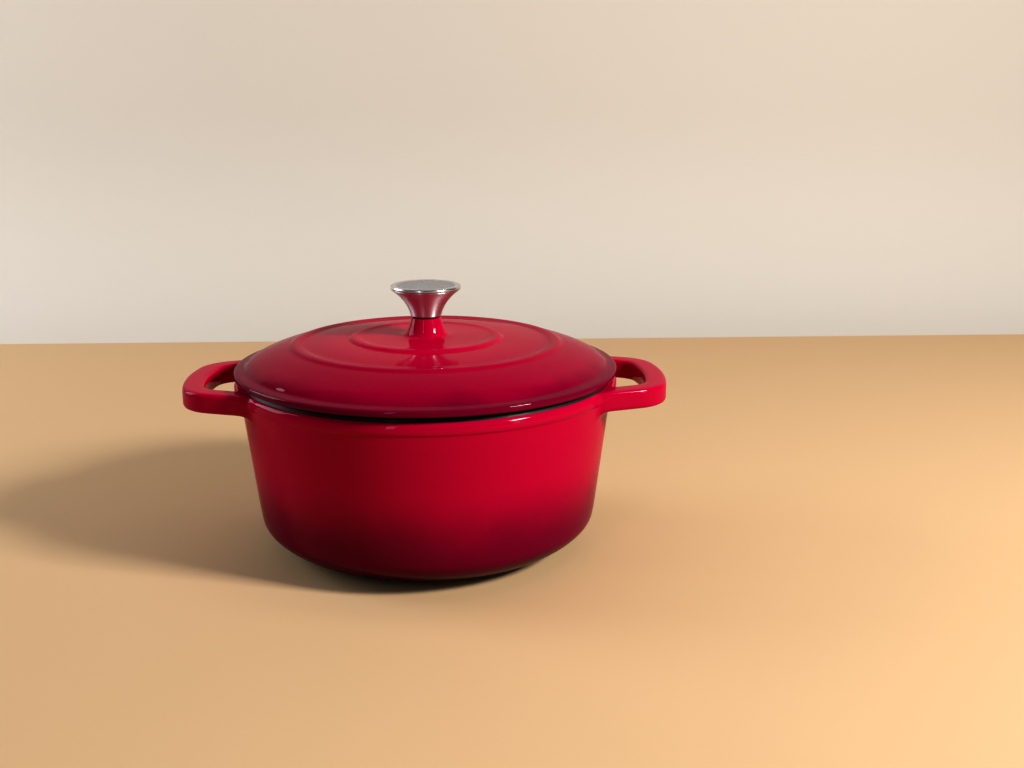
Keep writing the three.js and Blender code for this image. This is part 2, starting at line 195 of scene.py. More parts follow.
class Outline:
    """A chain of (radius, height) points in millimetres, which a turned piece is spun from."""

    def __init__(self, radius, height):
        self.points = [Vector((radius, 0.0, height))]

    def to(self, radius, height, steps=1):
        """Adds a straight stretch to a point."""
        start = self.points[-1]
        end = Vector((radius, 0.0, height))
        for step in range(1, steps + 1):
            self.points.append(start.lerp(end, step / steps))

    def via(self, *points):
        """Adds several points in turn."""
        for point in points:
            self.to(*point)

    def curve(self, leave, arrive, end, steps):
        """Adds a cubic curve that leaves and arrives towards the two pull points."""
        knots = [Vector((r, 0.0, z)) for r, z in (leave, arrive, end)]
        self.points += interpolate_bezier(self.points[-1], *knots, steps + 1)[1:]

    def bend(self, pull, end, steps):
        """Adds a quadratic curve towards one pull point."""
        start = self.points[-1]
        pull = Vector((pull[0], 0.0, pull[1]))
        stop = Vector((end[0], 0.0, end[1]))
        leave = start.lerp(pull, 2 / 3)
        arrive = stop.lerp(pull, 2 / 3)
        self.points += interpolate_bezier(start, leave, arrive, stop, steps + 1)[1:]


def turn(bm, outline, steps):
    """Spins an outline a full turn about Z and returns the vertex layer of its row numbers."""
    row = bm.verts.layers.int.new("row")
    chain = [bm.verts.new(point * MM) for point in outline.points]
    for number, vert in enumerate(chain):
        vert[row] = number
    edges = [bm.edges.new(pair) for pair in zip(chain, chain[1:])]
    bmesh.ops.spin(
        bm,
        geom=chain + edges,
        cent=(0, 0, 0),
        axis=(0, 0, 1),
        angle=math.tau,
        steps=steps,
        use_merge=True,
    )
    bmesh.ops.remove_doubles(bm, verts=bm.verts, dist=1e-6)
    bmesh.ops.recalc_face_normals(bm, faces=bm.faces)
    return row


def finish_piece(bm, name, body, materials, replaces, levels=2):
    """Makes a smooth piece from a bmesh, on its body, in place of its CAD nodes."""
    bmesh.ops.recalc_face_normals(bm, faces=bm.faces)
    for face in bm.faces:
        face.smooth = True
    mesh = bpy.data.meshes.new(name)
    bm.to_mesh(mesh)
    bm.free()
    piece = bpy.data.objects.new(name, mesh)
    bpy.context.scene.collection.objects.link(piece)
    for material in materials:
        mesh.materials.append(material)
    if levels:
        smooth = piece.modifiers.new("Subdivision", "SUBSURF")
        smooth.levels = levels
        smooth.render_levels = levels
    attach(piece, body)
    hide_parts(*replaces)
    return piece


# ---------------------------------------------------------------- materials


class Finish:
    """A node material under construction, with short ways to add and join its nodes."""

    def __init__(self, name):
        self.material = bpy.data.materials.new(name)
        self.material.use_nodes = True
        self.nodes = self.material.node_tree.nodes
        self.links = self.material.node_tree.links
        self.shader = self.nodes["Principled BSDF"]
        self.place = self.nodes.new("ShaderNodeTexCoord").outputs["Object"]

    def set(self, **sockets):
        """Sets constants on the shader's own sockets."""
        for name, value in sockets.items():
            self.shader.inputs[name.replace("_", " ")].default_value = value

    def node(self, kind, **inputs):
        """Adds a node, with values or links on its inputs by name."""
        node = self.nodes.new(kind)
        for name, value in inputs.items():
            self.join(value, node.inputs[name.replace("_", " ")])
        return node

    def join(self, value, socket):
        """Links a socket to another, or sets it to a value."""
        if isinstance(value, bpy.types.NodeSocket):
            self.links.new(value, socket)
        else:
            socket.default_value = value

    def math(self, operation, first, second=0.0):
        """Adds a math node and returns its result."""
        node = self.nodes.new("ShaderNodeMath")
        node.operation = operation
        self.join(first, node.inputs[0])
        self.join(second, node.inputs[1])
        return node.outputs["Value"]

    def radius_and_height(self):
        """The distance from the Z axis and the height above the floor."""
        split = self.node("ShaderNodeSeparateXYZ", Vector=self.place)
        across = self.math("POWER", split.outputs["X"], 2.0)
        along = self.math("POWER", split.outputs["Y"], 2.0)
        radius = self.math("SQRT", self.math("ADD", across, along))
        return radius, split.outputs["Z"]

    def noise(self, scale, detail=2.0, vector=None):
        """A noise value between 0 and 1."""
        node = self.node(
            "ShaderNodeTexNoise",
            Vector=vector or self.place,
            Scale=scale,
            Detail=detail,
        )
        return node.outputs["Fac"]

    def ramp(self, value, *stops):
        """Colours along a value, from (position, colour) stops."""
        node = self.node("ShaderNodeValToRGB", Fac=value)
        node.color_ramp.interpolation = "EASE"
        elements = node.color_ramp.elements
        while len(elements) < len(stops):
            elements.new(0.5)
        for element, (position, shade) in zip(elements, stops):
            element.position = position
            element.color = (*shade, 1.0)
        return node.outputs["Color"]

    def between(self, value, low, high, start=0.0, end=1.0):
        """Maps a value from one range to another, held at its ends."""
        node = self.node("ShaderNodeMapRange", Value=value)
        node.inputs["From Min"].default_value = low
        node.inputs["From Max"].default_value = high
        node.inputs["To Min"].default_value = start
        node.inputs["To Max"].default_value = end
        return node.outputs["Result"]

    def blend(self, share, first, second):
        """Mixes two colours."""
        node = self.nodes.new("ShaderNodeMix")
        node.data_type = "RGBA"
        self.join(share, node.inputs["Factor"])
        sockets = [s for s in node.inputs if s.type == "RGBA"]
        for value, socket in zip((first, second), sockets):
            if not isinstance(value, bpy.types.NodeSocket):
                value = (*value, 1.0)
            self.join(value, socket)
        return next(s for s in node.outputs if s.type == "RGBA")

    def bump(self, height, distance):
        """Raises the surface by a height field, on top of any earlier bump."""
        earlier = self.shader.inputs["Normal"].links
        node = self.node("ShaderNodeBump", Height=height, Distance=distance, Strength=1.0)
        if earlier:
            self.links.new(earlier[0].from_socket, node.inputs["Normal"])
        self.links.new(node.outputs["Normal"], self.shader.inputs["Normal"])


def glassy(finish):
    """The fired surface that every enamel shares: a clear coat with a slight orange peel."""
    finish.set(Roughness=0.45, Specular_IOR_Level=0.0)
    finish.set(Coat_Weight=0.45, Coat_Roughness=0.015, Coat_IOR=1.3)
    finish.bump(finish.noise(95.0, detail=1.5), distance=0.02 * MM)
    finish.bump(finish.noise(700.0, detail=1.0), distance=0.001 * MM)


def enamel_shading(finish, position, colours, stops):
    """Enamel whose colour deepens along a position, with faint cloudy variation."""
    drift = 0.035  # how far the clouds shift the position
    cloud = finish.between(finish.noise(26.0, detail=3.0), 0.3, 0.7, -drift, drift)
    shifted = finish.math("ADD", position, cloud)
    shades = {
        "bright": colours.bright_red,
        "medium": [sum(pair) / 2 for pair in zip(colours.bright_red, colours.deep_red)],
        "deep": colours.deep_red,
        "burgundy_and_shade": colours.burgundy_and_shade,
    }
    return finish.ramp(shifted, *((at, shades[shade]) for at, shade in stops))


def pot_enamel(colours):
    """Red enamel that deepens towards the foot of the pot, partly its own graded colour and
    partly painted shade.
    """
    finish = Finish("pot_red_enamel")
    height = finish.radius_and_height()[1]
    share = finish.between(height, 0.0, POT_BOX[1].z)
    shade = enamel_shading(
        finish,
        share,
        colours,
        # the darkest stop near the foot is partly painted shade where less light reaches
        ((0.03, "burgundy_and_shade"), (0.22, "deep"), (0.62, "bright")),
    )
    finish.join(shade, finish.shader.inputs["Base Color"])
    glassy(finish)
    return finish.material


def lid_enamel(colours):
    """Red enamel that deepens towards the edge of the lid."""
    finish = Finish("lid_red_enamel")
    radius = finish.radius_and_height()[0]
    share = finish.between(radius, 0.0, LID_BOX[1].x)
    shade = enamel_shading(
        finish,
        share,
        colours,
        ((0.35, "bright"), (0.85, "medium"), (1.0, "deep")),
    )
    finish.join(shade, finish.shader.inputs["Base Color"])
    glassy(finish)
    return finish.material


def black_enamel(colours):
    """Black enamel with a fine speckle and a softer gloss."""
    finish = Finish("black_enamel")
    speckle = finish.between(finish.noise(1400.0, detail=2.0), 0.62, 0.72)
    lighter = tuple(3.0 * part for part in colours.black)
    shade = finish.blend(speckle, tuple(colours.black), lighter)
    finish.join(shade, finish.shader.inputs["Base Color"])
    finish.set(Roughness=0.5, Specular_IOR_Level=0.15)
    finish.set(Coat_Weight=0.05, Coat_Roughness=0.08, Coat_IOR=1.3)
    finish.bump(finish.noise(900.0, detail=2.0), distance=0.01 * MM)
    return finish.material


def turned_steel(name, tint, roughness, groove, stretch=0.0):
    """Steel with fine lathe grooves running round it, which stretch its highlights."""
    finish = Finish(name)
    radius, height = finish.radius_and_height()
    grooves = finish.node("ShaderNodeCombineXYZ", X=radius, Y=height)
    fine = finish.noise(5200.0, detail=2.0, vector=grooves.outputs["Vector"])
    broad = finish.noise(60.0, detail=2.0)
    dull = tuple(0.82 * part for part in tint)
    finish.join(finish.blend(fine, dull, tuple(tint)), finish.shader.inputs["Base Color"])
    spread = 0.04  # how far the roughness strays either way
    rough = finish.between(broad, 0.3, 0.7, roughness - spread, roughness + spread)
    finish.join(rough, finish.shader.inputs["Roughness"])
    finish.set(Metallic=1.0, Anisotropic=stretch, Anisotropic_Rotation=0.25)
    finish.bump(fine, distance=groove)
    return finish.material


def gasket_rubber(colours):
    """Matt black rubber with a fine grain."""
    finish = Finish("gasket_rubber")
    shade = finish.blend(
        finish.noise(900.0),
        tuple(colours.rubber),
        tuple(2.0 * part for part in colours.rubber),
    )
    finish.join(shade, finish.shader.inputs["Base Color"])
    finish.set(Roughness=0.7)
    finish.bump(finish.noise(2500.0), distance=0.01 * MM)
    return finish.material


def plain_matt(name, tint):
    """A plain matt surface for the stage."""
    finish = Finish(name)
    finish.set(Base_Color=(*tint, 1.0), Roughness=0.85)
    return finish.material


# ---------------------------------------------------------------- pot

POT_STEPS = 90  # around the pot, so that a column of faces is 4 degrees wide
COLUMN = math.tau / POT_STEPS
FOOT_ROW = 3  # the last row of the pot's section that is black enamel under its foot
WINDOW_INNER = 4  # the bar's inner face leaves the pad at this column
WINDOW_OUTER = 7  # and its outer face at this one
ACROSS = (0.0, 0.32, 0.68, 1.0)  # where the bar's four columns lie across its width
DEPTHS = (0.0, 0.30, 0.40, 0.50, 0.60, 0.70, 1.0)  # and its seven rows up its depth


def pot_outline(sizes):
    """The pot's section, from the middle of its underside round to its inside floor.

    Also returns the numbers of the rows that the handles grow from, and of the row where
    the red enamel ends.
    """
    foot = sizes.foot_radius / MM
    corner = sizes.corner_radius / MM
    corner_height = sizes.corner_height / MM
    crown = sizes.height / MM
    band = sizes.band_radius / MM + 0.15  # set out, because the smoothing pulls it in
    slope = 0.1273  # how far the wall leans out for each millimetre of height
    fullness = 0.433  # how far the corner's curve reaches towards a sharp corner
    sharp = corner - slope * corner_height
    wall_end = crown - 19  # the band starts here
    bar_bottom = wall_end - 5

    def wall_at(height):
        return corner + slope * (height - corner_height)

    # The underside, the bottom corner and the wall.
    outline = Outline(0, 0)
    outline.via((35, 0), (60, 0), (foot - 3, 0), (foot, 0.05))
    outline.curve(
        (foot + fullness * (sharp - foot), 0),
        (corner - fullness * slope * corner_height, corner_height * (1 - fullness)),
        (corner, corner_height),
        8,
    )
    outline.to(wall_at(bar_bottom), bar_bottom, 4)
    bar_start = len(outline.points)
    outline.to(wall_at(wall_end), wall_end)

    # The band under the rim, up to the shoulder where the red enamel ends.
    outline.via(
        (band - 1.2, crown - 11.6),
        (band - 1.05, crown - 10.7),
        (band + 0.05, crown - 9.9),
        (band, crown - 6),
        (band - 0.8, crown - 3.8),
        (band - 2.2, crown - 3),
    )
    shoulder = len(outline.points) - 1

    # The rounded rim, and the upright bore that the lid's lip drops into.
    bore = band - 6
    outline.via(
        (band - 2.65, crown - 1.7),
        (band - 3.2, crown - 0.4),
        (band - 4.1, crown),
        (band - 5.1, crown),
        (bore - 0.05, crown - 0.5),
        (bore, crown - 1.9),
        (bore, crown - 8),
        (bore, crown - 18),
    )

    # The inside wall, its corner and the inside floor.
    inner = corner - sizes.wall / MM
    inner_height = corner_height + 1
    floor = sizes.floor / MM
    outline.to(inner, inner_height, 4)
    outline.curve((inner - 1.2, inner_height - 9.5), (foot + 14, floor), (foot - 3, floor), 7)
    outline.via((55, floor), (30, floor), (0, floor))
    return outline, range(bar_start, shoulder + 1), shoulder


class LoopHandle:
    """The plan of one loop handle, in metres, pointing along +X."""

    SIDE_ANGLE = math.radians(18.5)  # the sides spread towards the pot
    CORNER_OFFSET = 21.5 * MM  # from the middle line to each corner's centre
    CORNER_RADIUS = 28.3 * MM
    FACE_RADIUS = 138 * MM  # the slightly bowed end
    WEB_RADIUS = 125 * MM  # the hand hole starts here
    CORNER_STEPS = 5
    FACE_STEPS = 2
    SIDE_SHARES = (0.75, 0.36, 0.0)  # stations along the straight side

    def __init__(self, sizes):
        self.bar = sizes.bar_width
        self.face_centre = sizes.handle_reach - self.FACE_RADIUS
        arm = self.FACE_RADIUS - self.CORNER_RADIUS
        self.face_angle = math.asin(self.CORNER_OFFSET / arm)
        corner_x = self.face_centre + arm * math.cos(self.face_angle)
        self.corner = Vector((corner_x, self.CORNER_OFFSET))
        self.normal = Vector((math.sin(self.SIDE_ANGLE), math.cos(self.SIDE_ANGLE)))
        self.inward = Vector((-math.cos(self.SIDE_ANGLE), math.sin(self.SIDE_ANGLE)))

    def on_side(self, across, share):
        """A point on the straight side, at a share of the way back to the web."""
        radius = self.CORNER_RADIUS - self.bar + across
        start = self.corner + self.normal * radius
        along = start.dot(self.inward)
        run = -along - math.sqrt(along**2 - start.length_squared + self.WEB_RADIUS**2)
        return start + self.inward * (run * share)

    def on_arc(self, across, centre, outer_radius, angle, step):
        """A point on an arc, set out a little because the smoothing pulls arcs in."""
        radius = (outer_radius - self.bar + across) / ((2 + math.cos(step)) / 3)
        return centre + Vector((math.cos(angle), math.sin(angle))) * radius

    def stations(self):
        """A function of the distance across the bar for each section, from web to middle."""
        for share in self.SIDE_SHARES:
            yield lambda across, share=share: self.on_side(across, share)
        start = math.pi / 2 - self.SIDE_ANGLE
        step = (start - self.face_angle) / self.CORNER_STEPS
        for number in range(1, self.CORNER_STEPS + 1):
            angle = start - number * step
            yield lambda across, angle=angle, step=step: self.on_arc(
                across, self.corner, self.CORNER_RADIUS, angle, step
            )
        face = Vector((self.face_centre, 0.0))
        step = self.face_angle / self.FACE_STEPS
        for number in range(1, self.FACE_STEPS + 1):
            angle = self.face_angle - number * step
            yield lambda across, angle=angle, step=step: self.on_arc(
                across, face, self.FACE_RADIUS, angle, step
            )


def extrude_faces(bm, faces):
    """Extrudes a region of faces in place and returns its new faces."""
    edges = {edge for face in faces for edge in face.edges}
    verts = {vert for face in faces for vert in face.verts}
    made = bmesh.ops.extrude_face_region(bm, geom=[*faces, *edges, *verts])
    return [item for item in made["geom"] if isinstance(item, bmesh.types.BMFace)]


def grow_handle(bm, row, column, bar_rows, sizes):
    """Grows one loop handle, cast in one with the wall, towards +X."""
    plan = LoopHandle(sizes)
    heights = [
        sizes.bar_bottom + share * (sizes.bar_top - sizes.bar_bottom) for share in DEPTHS
    ]

    def set_column(vert):
        vert[column] = round(math.atan2(vert.co.y, vert.co.x) / COLUMN)
        return abs(vert[column]) <= WINDOW_OUTER

    wall = [
        face
        for face in bm.faces
        if all(vert[row] in bar_rows and set_column(vert) for vert in face.verts)
    ]

    def put(vert, point):
        """Moves a vertex to a point of the plan, on its own side and at its own height."""
        side = math.copysign(1, vert[column])
        vert.co = (point.x, side * point.y, heights[vert[row] - bar_rows[0]])

    def place(faces, station):
        """Moves a section's vertices to their place across and up the bar."""
        for vert in {vert for face in faces for vert in face.verts}:
            put(vert, station(ACROSS[abs(vert[column]) - WINDOW_INNER] * plan.bar))

    pad = extrude_faces(bm, wall)
    hole_edge = plan.on_side(0.0, 1.0)
    hole_angle = math.atan2(hole_edge.y, hole_edge.x)
    for vert in {vert for face in pad for vert in face.verts}:
        number = abs(vert[column])
        if number < WINDOW_INNER:
            angle = hole_angle * number / WINDOW_INNER
            point = Vector((math.cos(angle), math.sin(angle))) * plan.WEB_RADIUS
        else:
            point = plan.on_side(ACROSS[number - WINDOW_INNER] * plan.bar, 1.0)
        put(vert, point)

    middle_faces = []
    windows = [
        [face for face in pad if all(side * vert[column] >= WINDOW_INNER for vert in face.verts)]
        for side in (1, -1)
    ]
    for window in windows:
        for station in plan.stations():
            window = extrude_faces(bm, window)
            place(window, station)
        middle_faces += window
    middle = {vert for face in middle_faces for vert in face.verts}
    bmesh.ops.delete(bm, geom=middle_faces, context="FACES_ONLY")
    bmesh.ops.remove_doubles(bm, verts=list(middle), dist=0.05 * MM)


class OBJECT_OT_oven_pot(bpy.types.Operator):
    """Build the pot: the turned casting with its two loop handles"""

    bl_idname = "object.oven_pot"
    bl_label = "Pot"

    def execute(self, context):
        sizes = context.scene.oven_pot
        colours = context.scene.oven_finish
        bm = bmesh.new()
        outline, bar_rows, shoulder = pot_outline(sizes)
        row = turn(bm, outline, POT_STEPS)
        column = bm.verts.layers.int.new("column")
        half_turn = Matrix.Rotation(math.pi, 3, "Z")
        for _ in range(2):
            grow_handle(bm, row, column, bar_rows, sizes)
            bmesh.ops.rotate(bm, verts=bm.verts, cent=(0, 0, 0), matrix=half_turn)
        for face in bm.faces:
            highest = max(vert[row] for vert in face.verts)
            inside = highest > shoulder
            under = highest <= FOOT_ROW
            face.material_index = 1 if inside or under else 0
        finish_piece(
            bm,
            "pot_casting",
            "pot",
            [pot_enamel(colours), black_enamel(colours)],
            ["pot_body", "handle_right", "handle_left"],
        )
        return {"FINISHED"}


# ---------------------------------------------------------------- lid

LID_STEPS = 80
BORE_ROWS = 4  # the last rows of the lid's section, round its screw hole, aren't red


def add_ring(outline, radius, height, half, outer_fall, inner_fall):
    """A raised ring on the dome, from its outer foot over its crest to its inner foot."""
    outline.via(
        (radius + half, height - outer_fall),
        (radius + 0.70 * half, height - 0.34 * outer_fall),
        (radius + 0.35 * half, height),
        (radius - 0.25 * half, height),
        (radius - 0.62 * half, height - 0.42 * inner_fall),
        (radius - half, height - inner_fall),
    )


def lid_outline(sizes):
    """The lid's section, out along its underside and in over its top to the screw hole.

    Also returns the number of the row where the red enamel starts.
    """
    edge = sizes.radius / MM
    lip = sizes.lip_bottom / MM
    boss = sizes.boss_top / MM
    hole = sizes.hole / MM
    pad = 134.9  # height of the flat pad under the boss
    lip_inner = 110.4
    lip_outer = 114.3
    seat = 117.3  # height of the face that rests on the pot's rim

    # The pad and the underside of the dome.
    outline = Outline(hole, pad + 0.4)
    outline.via((hole + 0.4, pad), (8, pad), (11.6, pad), (12.4, pad + 0.4), (14.5, pad + 1.2))
    outline.bend((50, 136.5), (80, 132.5), 8)
    outline.bend((96, 130.7), (105.2, 126), 5)
    outline.bend((109.6, 123.5), (lip_inner, 119), 3)

    # The locating lip, the seat and the underside of the edge.
    outline.to(lip_inner, lip + 2.5)
    outline.via((lip_inner + 0.1, lip + 0.7), (lip_inner + 1.1, lip))
    outline.via((lip_outer - 1, lip), (lip_outer, lip + 0.7), (lip_outer + 0.1, lip + 2.5))
    outline.via((lip_outer + 0.6, seat - 1), (lip_outer + 1.3, seat), (119.0, seat))
    outline.via((119.9, seat + 0.1), (120.6, 118), (edge - 2.4, 118))
    red_start = len(outline.points) - 1

    # The edge, the flange, the soft crease and the dome with its two rings.
    outline.via((edge - 0.5, 118.1), (edge + 0.05, 119.0), (edge + 0.05, 120.9))
    outline.via((edge - 0.35, 122.0), (edge - 1.5, 122.45), (edge - 4.2, 122.85))
    outline.via((119.3, 123.15), (118.2, 123.5), (117.0, 124.6), (115.6, 125.9))
    outline.to(112.4, 128.0)
    outline.bend((104.0, 132.0), (92.5, 135.2), 5)
    add_ring(outline, 84.3, 137.85, 4.9, 2.0, 0.8)
    outline.bend((66, 138.9), (51.6, 139.4), 5)
    add_ring(outline, 46.15, 141.15, 4.6, 1.9, 0.7)

    # The boss, its flat top and the screw hole.
    outline.to(30, 140.5)
    outline.via((21, 140.55), (16.6, 140.85), (14.5, 141.3), (13.3, 142.6))
    outline.via((12.2, 144.6), (10.9, 148), (10.1, 151), (9.85, boss - 0.9), (9.7, boss - 0.3))
    outline.via((9.2, boss), (6.5, boss), (hole + 0.4, boss), (hole, boss - 0.4))
    outline.to(hole, 144)
    outline.to(hole, pad + 0.4)
    return outline, red_start


class OBJECT_OT_oven_lid(bpy.types.Operator):
    """Build the lid: the domed casting with its rings and the boss for the knob"""

    bl_idname = "object.oven_lid"
    bl_label = "Lid"

    def execute(self, context):
        colours = context.scene.oven_finish
        bm = bmesh.new()
        outline, red_start = lid_outline(context.scene.oven_lid)
        row = turn(bm, outline, LID_STEPS)
        last = len(outline.points) - 1 - BORE_ROWS
        for face in bm.faces:
            rows = [vert[row] for vert in face.verts]
            red = min(rows) >= red_start and max(rows) <= last
            face.material_index = 0 if red else 1
        finish_piece(
            bm,
            "lid_shell",
            "lid",
            [lid_enamel(colours), black_enamel(colours)],
            ["lid_casting"],
        )
        return {"FINISHED"}


# ---------------------------------------------------------------- knob

SMALL_STEPS = 60  # around the knob, its plate, the gasket and the flat washer
DISC_ROW = 10  # the row of the plate's section where the brushed disc starts


def knob_outline(sizes):
    """The knob body's section: a slim foot that flares to a wide top, and its hollow."""
    foot = sizes.foot / MM
    top_radius = sizes.radius / MM
    base = KNOB_BOX[0].z / MM
    top = PLATE_BOX[0].z / MM - 0.08  # just clear of the plate
    cavity = 8.9  # radius of the hollow at its foot
    mouth = 14.0  # and at its top
    outline = Outline(cavity, base + 0.3)
    outline.via((cavity + 0.3, base), (foot - 0.5, base), (foot - 0.1, base + 0.15))
    outline.to(foot, base + 0.6)
    outline.curve(
        (foot + 1.5, base + 6.4),
        (foot + 5.1, base + 12.1),
        (top_radius - 0.45, top - 0.6),
        14,
    )
    outline.via((top_radius - 0.25, top - 0.3), (top_radius - 0.3, top - 0.05))
    outline.via((top_radius - 0.9, top), (mouth + 0.4, top), (mouth, top - 0.3))
    outline.via((mouth - 1.8, top - 5.1), (cavity + 0.5, top - 10.6), (cavity, base + 3))
    outline.to(cavity, base + 0.3)
    return outline


def plate_outline(sizes):
    """The top plate's section: a polished rounded rim round a slightly dished disc."""
    radius = sizes.radius / MM
    bottom = PLATE_BOX[0].z / MM
    top = PLATE_BOX[1].z / MM
    outline = Outline(0, bottom)
    outline.via((12, bottom), (radius - 1.2, bottom))
    outline.via((radius - 0.35, bottom + 0.02), (radius + 0.02, bottom + 0.4))
    outline.via((radius + 0.02, top - 0.9), (radius - 0.4, top - 0.15))
    outline.to(radius - 1.3, top + 0.02)
    outline.via((radius - 2.6, top), (radius - 3.3, top - 0.1), (radius - 3.7, top - 0.35))
    outline.via((radius - 4.4, top - 0.42), (12, top - 0.55), (6, top - 0.65), (0, top - 0.68))
    return outline


class OBJECT_OT_oven_knob(bpy.types.Operator):
    """Build the knob: the flared stainless body and its top plate"""

    bl_idname = "object.oven_knob"
    bl_label = "Knob"

    def execute(self, context):
        sizes = context.scene.oven_knob
        colours = context.scene.oven_finish
        body_steel = turned_steel(
            "turned_stainless",
            colours.stainless,
            roughness=0.38,
            groove=0.006 * MM,
            stretch=0.9,
        )
        # the disc's blue cast is a painted cool reflection on grey steel
        plate_steel = turned_steel(
            "brushed_stainless",
            colours.brushed,
            roughness=0.30,
            groove=0.008 * MM,
        )
        rim_steel = turned_steel(
            "polished_stainless",
            colours.stainless,
            roughness=0.22,
            groove=0.002 * MM,
        )
        bm = bmesh.new()
        turn(bm, knob_outline(sizes), SMALL_STEPS)
        finish_piece(bm, "knob_flare", "lid", [body_steel], ["knob_body"])
        bm = bmesh.new()
        row = turn(bm, plate_outline(sizes), SMALL_STEPS)
        for face in bm.faces:
            on_disc = min(vert[row] for vert in face.verts) >= DISC_ROW
            face.material_index = 1 if on_disc else 0
        finish_piece(
            bm,
            "knob_plate",
            "lid",
            [rim_steel, plate_steel],
            ["knob_top_plate"],
        )
        return {"FINISHED"}


# ---------------------------------------------------------------- fasteners

THREADED_STEPS = 48  # around the insert and the screw
SPRING_STEPS = 56  # around the spring washer

# Radii, lengths and eased edges, in millimetres.
CLEARANCE_HOLE = 3.4  # in the gasket and both washers
INSERT_HOLE = 3.3
RING_EASE = 0.15  # on the gasket and the flat washer
INSERT_EASE = 0.4
HEAD_DEPTH = 3.8
SHANK = 3.0
CROSS_SIZE = (6.4, 1.3, 3.8)  # length, width and height of each arm of the recess cutter
CROSS_EASE = 0.15
SPRING_EASE = 0.12

SPRING_OPENING = math.radians(14)
SPRING_RISE = 0.18  # from one end to the other, as a share of the washer's depth
SHARP_EDGE = 1.0  # edges that turn by more than this many radians are eased


def ring_outline(box, inner, edge):
    """A flat ring that fills a CAD box, with its edges eased."""
    bottom = box[0].z / MM
    top = box[1].z / MM
    outer = box[1].x / MM
    outline = Outline(inner, bottom + edge)
    outline.via((inner + edge, bottom), (outer - edge, bottom), (outer, bottom + edge))
    outline.via((outer, top - edge), (outer - edge, top), (inner + edge, top))
    outline.via((inner, top - edge), (inner, bottom + edge))
    return outline


def screw_outline():
    """The pan-head screw's section, hanging head down."""
    bottom = SCREW_BOX[0].z / MM
    tip = SCREW_BOX[1].z / MM
    head = SCREW_BOX[1].x / MM
    seat = bottom + HEAD_DEPTH
    outline = Outline(0, bottom)
    outline.via((2.0, bottom), (head - 2.6, bottom + 0.02))
    outline.bend((head - 0.2, bottom + 0.3), (head, seat - 1.2), 4)
    outline.via((head, seat - 0.25), (head - 0.25, seat), (SHANK + 0.3, seat))
    outline.via((SHANK, seat + 0.3), (SHANK, tip - 0.9), (SHANK - 0.8, tip), (0, tip))
    return outline


def carve(piece, cutter):
    """Cuts one object out of another and removes the cutter."""
    boolean = piece.modifiers.new("Cut", "BOOLEAN")
    boolean.operation = "DIFFERENCE"
    boolean.solver = "EXACT"
    boolean.use_self = True
    boolean.object = cutter
    graph = bpy.context.evaluated_depsgraph_get()
    carved = bpy.data.meshes.new_from_object(piece.evaluated_get(graph))
    piece.modifiers.clear()
    piece.data = carved
    bpy.data.objects.remove(cutter)


def cross_cutter():
    """A cross-shaped driver recess that enters the screw's head from below."""
    bm = bmesh.new()
    size = Vector(CROSS_SIZE) * MM
    for turned in (0.0, math.pi / 2):
        place = Matrix.Translation((0, 0, SCREW_BOX[0].z)) @ Matrix.Rotation(turned, 4, "Z")
        made = bmesh.ops.create_cube(bm, size=1.0, matrix=place @ Matrix.Diagonal((*size, 1)))
        bmesh.ops.bevel(
            bm,
            geom=list({edge for vert in made["verts"] for edge in vert.link_edges}),
            offset=CROSS_EASE * MM,
            segments=2,
            profile=0.5,
            affect="EDGES",
            material=-1,
        )
    mesh = bpy.data.meshes.new("cross_cutter")
    bm.to_mesh(mesh)
    bm.free()
    cutter = bpy.data.objects.new("cross_cutter", mesh)
    bpy.context.scene.collection.objects.link(cutter)
    return cutter


def spring_ring(bm):
    """A split ring: a square section swept round, rising from one end to the other."""
    inner = CLEARANCE_HOLE * MM
    outer = SPRING_BOX[1].x
    bottom = SPRING_BOX[0].z
    depth = SPRING_BOX[1].z - bottom
    rise = SPRING_RISE * depth
    section = [(inner, 0.0), (outer, 0.0), (outer, depth - rise), (inner, depth - rise)]
    corners = [bm.verts.new((x, 0.0, bottom + z)) for x, z in section]
    face = bm.faces.new(corners)
    half_open = Matrix.Rotation(SPRING_OPENING / 2, 3, "Z")
    bmesh.ops.rotate(bm, verts=bm.verts, cent=(0, 0, 0), matrix=half_open)
    bmesh.ops.spin(
        bm,
        geom=[face, *face.edges, *face.verts],
        cent=(0, 0, 0),
        axis=(0, 0, 1),
        dvec=(0, 0, rise / SPRING_STEPS),
        angle=math.tau - SPRING_OPENING,
        steps=SPRING_STEPS,
    )
    bmesh.ops.recalc_face_normals(bm, faces=bm.faces)
    sharp_edges = [edge for edge in bm.edges if edge.calc_face_angle(0.0) > SHARP_EDGE]
    bmesh.ops.bevel(
        bm,
        geom=sharp_edges,
        offset=SPRING_EASE * MM,
        segments=2,
        profile=0.5,
        affect="EDGES",
        material=-1,
    )


